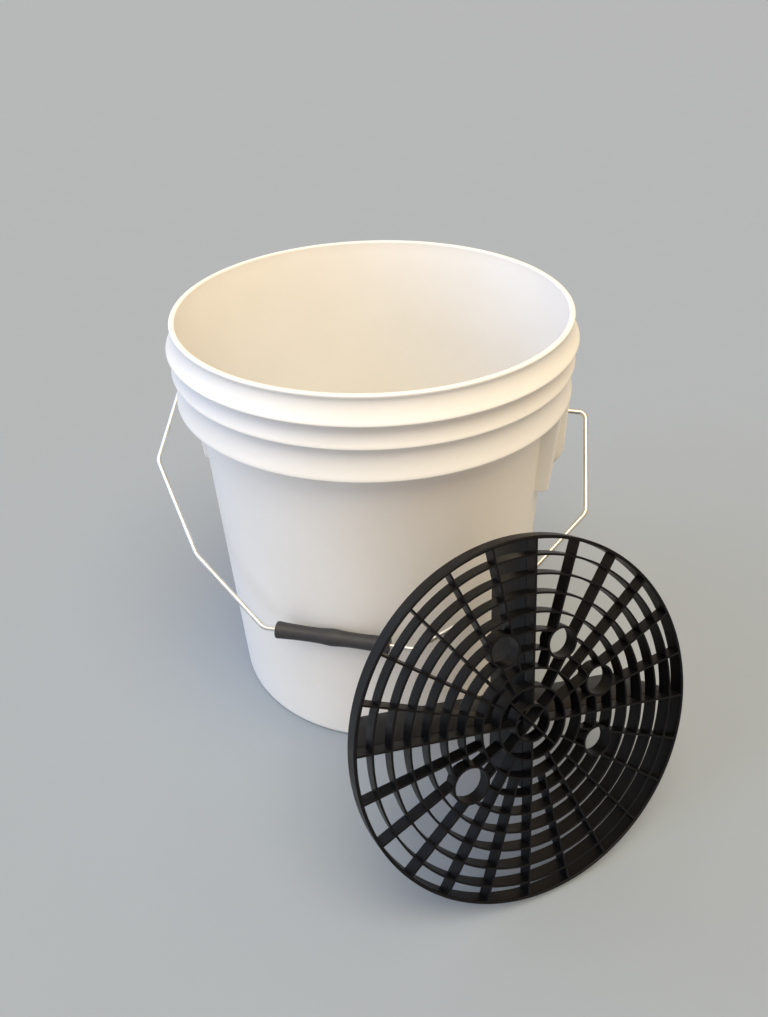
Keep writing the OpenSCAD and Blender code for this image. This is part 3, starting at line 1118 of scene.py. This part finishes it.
@dataclass
class GritGuard:
    """The grit guard, in millimetres: drawn flat with its grid's face at z = 0, then stood up."""

    radius: float = 130.3
    rim_h: float = 11.7
    rim_t: float = 2.4
    grid_h: float = 11.0
    grid_t: float = 1.5
    rings: int = 9
    height: float = 56.5
    vane_t: float = 2.0
    vane_tip_r: float = 110.0
    finger_r: float = 10.2
    thumb_r: float = 12.2
    tube_t: float = 1.6
    middle: tuple[float, float] = (99.9, -226.8)
    turn: float = 24.2
    lean: float = 23.3
    roll: float = 78.3

    @property
    def pitch(self) -> float:
        """Distance between rings."""
        return self.radius / (self.rings + 1)

    @property
    def place(self) -> Matrix:
        """The matrix that stands the flat guard on the floor, leaning back."""
        lean = math.radians(self.lean)
        up = 0.2 + self.radius * math.cos(lean) + self.rim_h * math.sin(lean)
        return (
            Matrix.Translation((self.middle[0] * MM, self.middle[1] * MM, up * MM))
            @ Matrix.Rotation(math.radians(self.turn), 4, "Z")
            @ Matrix.Rotation(math.pi / 2 - lean, 4, "X")
            @ Matrix.Rotation(math.radians(self.roll), 4, "Z")
        )

    def holes(self) -> list[tuple[float, float]]:
        """The direction and inner radius of each finger hole, and of the thumb hole."""
        fingers = [(45 * i - 45, self.finger_r) for i in (-1.5, -0.5, 0.5, 1.5)]
        return [*fingers, (127.5, self.thumb_r)]

    def lattice(self, shape: LatticeShape) -> bpy.types.Object:
        """Builds the rings, spokes and tubes."""
        at = 4.5 * self.pitch
        spots = [
            (at * math.cos(math.radians(a)), at * math.sin(math.radians(a)), 0.0) for a, _ in self.holes()
        ]
        piece = new_mesh("guard_lattice", spots)
        bores = piece.data.attributes.new("bore", "FLOAT", "POINT")
        bores.data.foreach_set("value", [r * MM for _, r in self.holes()])
        shape.put_on(
            piece,
            Finishes.GUARD.look(),
            Ring_count=self.rings,
            Ring_pitch=self.pitch * MM,
            Rim_radius=(self.radius - self.rim_t / 2) * MM,
            Bar_thickness=self.grid_t * MM,
            Grid_depth=self.grid_h * MM,
            Tube_wall=self.tube_t * MM,
            Tube_depth=self.grid_h * MM,
        )
        return settle(piece, self.place, sharp=20)

    def hoop(self, lathe: LatheShape) -> bpy.types.Object:
        """Turns the rim band, with a rounded front edge."""
        inner, outer = self.radius - self.rim_t, self.radius
        line = soften(
            [
                (inner, -self.rim_h / 2, 0),
                (inner, 0, 0.7),
                (outer, 0, 0.9),
                (outer, -self.rim_h, 0.5),
                (inner, -self.rim_h, 0.5),
                (inner, -self.rim_h / 2, 0),
            ],
            4,
        )
        piece = chain("guard_hoop", [(r, 0, z) for r, z in line])
        lathe.put_on(piece, Finishes.GUARD.look(), Segments=240)
        return settle(piece, self.place)

    def vane(self, number: int) -> bpy.types.Object:
        """Cuts one upright plate under the grid; the third is short."""
        root = self.vane_t / (-2 if number == 0 else 2)
        short = number == 2
        tip = 4 * self.pitch if short else self.vane_tip_r
        top = 4 * self.pitch if short else self.radius - self.rim_t - 0.3
        outline = [
            (root, -self.height),
            (tip, -self.height),
            (top, -self.rim_h),
            (top, -self.grid_h),
            (root, -self.grid_h),
        ]
        half, n = self.vane_t / 2, len(outline)
        points = [(r, side * half, z) for side in (-1, 1) for r, z in outline]
        faces = [tuple(range(n)), tuple(range(2 * n - 1, n - 1, -1))]
        faces += [(i, n + i, n + (i + 1) % n, (i + 1) % n) for i in range(n)]
        plate = new_mesh("guard_fin", points, faces)
        edge = plate.modifiers.new("Edge", "BEVEL")
        edge.width = 0.35 * MM
        edge.segments = 2
        return settle(plate, self.place @ Matrix.Rotation(math.radians(90 * number), 4, "Z"), sharp=30)

    def build(self, lathe: LatheShape, shape: LatticeShape) -> None:
        """Builds and dresses the guard's pieces."""
        nodes = ("guard_rings", "guard_spokes", "finger_tubes", "thumb_tube")
        report(self.lattice(shape), Finishes.GUARD, "guard", *nodes)
        report(self.hoop(lathe), Finishes.GUARD, "guard", "guard_rim")
        fins = join("guard_fins", *(self.vane(i) for i in range(4)))
        report(fins, Finishes.GUARD, "guard", *(f"guard_vane_{i}" for i in (1, 2, 3, 4)))


# ---- studio ----


@dataclass
class Studio:
    """The floor, the lights and the camera.

    cool and warm are the room's colours at the left and at the right, and room is its strength.
    """

    eye: tuple[float, float, float] = (0.0, -0.60561, 0.57368)
    pitch: float = 0.6126
    yaw: float = 0.0078
    tilt: float = -0.0299
    lens: float = 29.62
    floor_half: float = 40.0
    cool: str = "#C4D6FF"
    warm: str = "#DCBC96"
    room: float = 0.92

    def floor(self) -> None:
        """Lays the floor."""
        half = self.floor_half / MM
        corners = [(-half, -half, 0), (half, -half, 0), (half, half, 0), (-half, half, 0)]
        made = new_mesh("studio_floor", corners, [(0, 1, 2, 3)])
        made.data.materials.append(PaintedFloor().material())

    def camera(self) -> None:
        """Sets the camera up."""
        ahead = Vector(
            (
                math.sin(self.yaw) * math.cos(self.pitch),
                math.cos(self.yaw) * math.cos(self.pitch),
                -math.sin(self.pitch),
            )
        )
        right = Vector((math.cos(self.yaw), -math.sin(self.yaw), 0.0))
        up = right.cross(ahead)
        level = Matrix((right, up, -ahead)).transposed() @ Matrix.Rotation(self.tilt, 3, "Z")
        data = bpy.data.cameras.new("Camera")
        data.lens = self.lens
        data.sensor_width = 36.0
        data.clip_start = 0.01
        data.clip_end = 200.0
        camera = bpy.data.objects.new("Camera", data)
        camera.matrix_world = Matrix.Translation(self.eye) @ level.to_4x4()
        bpy.context.scene.collection.objects.link(camera)
        bpy.context.scene.camera = camera

    def lamp(self, name: str, way: Sequence[float], spread: float, strength: float, colour: str) -> None:
        """Adds one wide, far lamp, which lights the whole floor alike.

        Args:
            name: the lamp's name.
            way: the direction that its light travels in.
            spread: the angle that it fills, in degrees.
            strength: its strength, in watts for each square metre.
            colour: its colour.
        """
        data = bpy.data.lights.new(name, "SUN")
        data.angle = math.radians(spread)
        data.energy = strength
        data.color = linear(colour)[:3]
        made = bpy.data.objects.new(name, data)
        made.matrix_world = Vector(way).to_track_quat("-Z", "Y").to_matrix().to_4x4()
        bpy.context.scene.collection.objects.link(made)

    def world(self) -> None:
        """Fills the room with soft light: cool from the left, warm from the right."""
        made = bpy.data.worlds.new("Studio room")
        bpy.context.scene.world = made
        made.use_nodes = True
        tree = made.node_tree
        tree.nodes.clear()
        way = add_node(tree, "ShaderNodeTexCoord").outputs["Generated"]
        axes = add_node(tree, "ShaderNodeSeparateXYZ", {0: way}).outputs
        side = span(tree, axes["X"], 0.0, 1.0, -1.0, 0.35)
        colour = blend_colours(tree, side, self.cool, self.warm)
        light = add_node(tree, "ShaderNodeBackground", {"Color": colour, "Strength": self.room})
        add_node(tree, "ShaderNodeOutputWorld", {"Surface": light.outputs[0]})

    def build(self) -> None:
        """Sets the whole studio up."""
        self.floor()
        self.camera()
        self.world()
        self.lamp("Window", (1.0, 0.08, -0.45), 60.0, 1.15, "#D2E4FF")
        self.lamp("Ceiling", (-0.1, 0.35, -1.0), 50.0, 2.6, "#FFF5DC")
        view = bpy.context.scene.view_settings
        view.view_transform = "Standard"
        view.look = "None"


def main() -> None:
    """Builds every sub-assembly in order."""
    logging.basicConfig(level=logging.INFO, format="%(name)s: %(message)s")
    studio = Studio()
    studio.build()
    lathe, rod, lattice = LatheShape(), RodShape(), LatticeShape()
    Pail().build(lathe)
    Bail().build(lathe, rod)
    GritGuard().build(lathe, lattice)


if __name__ == "__main__":
    main()
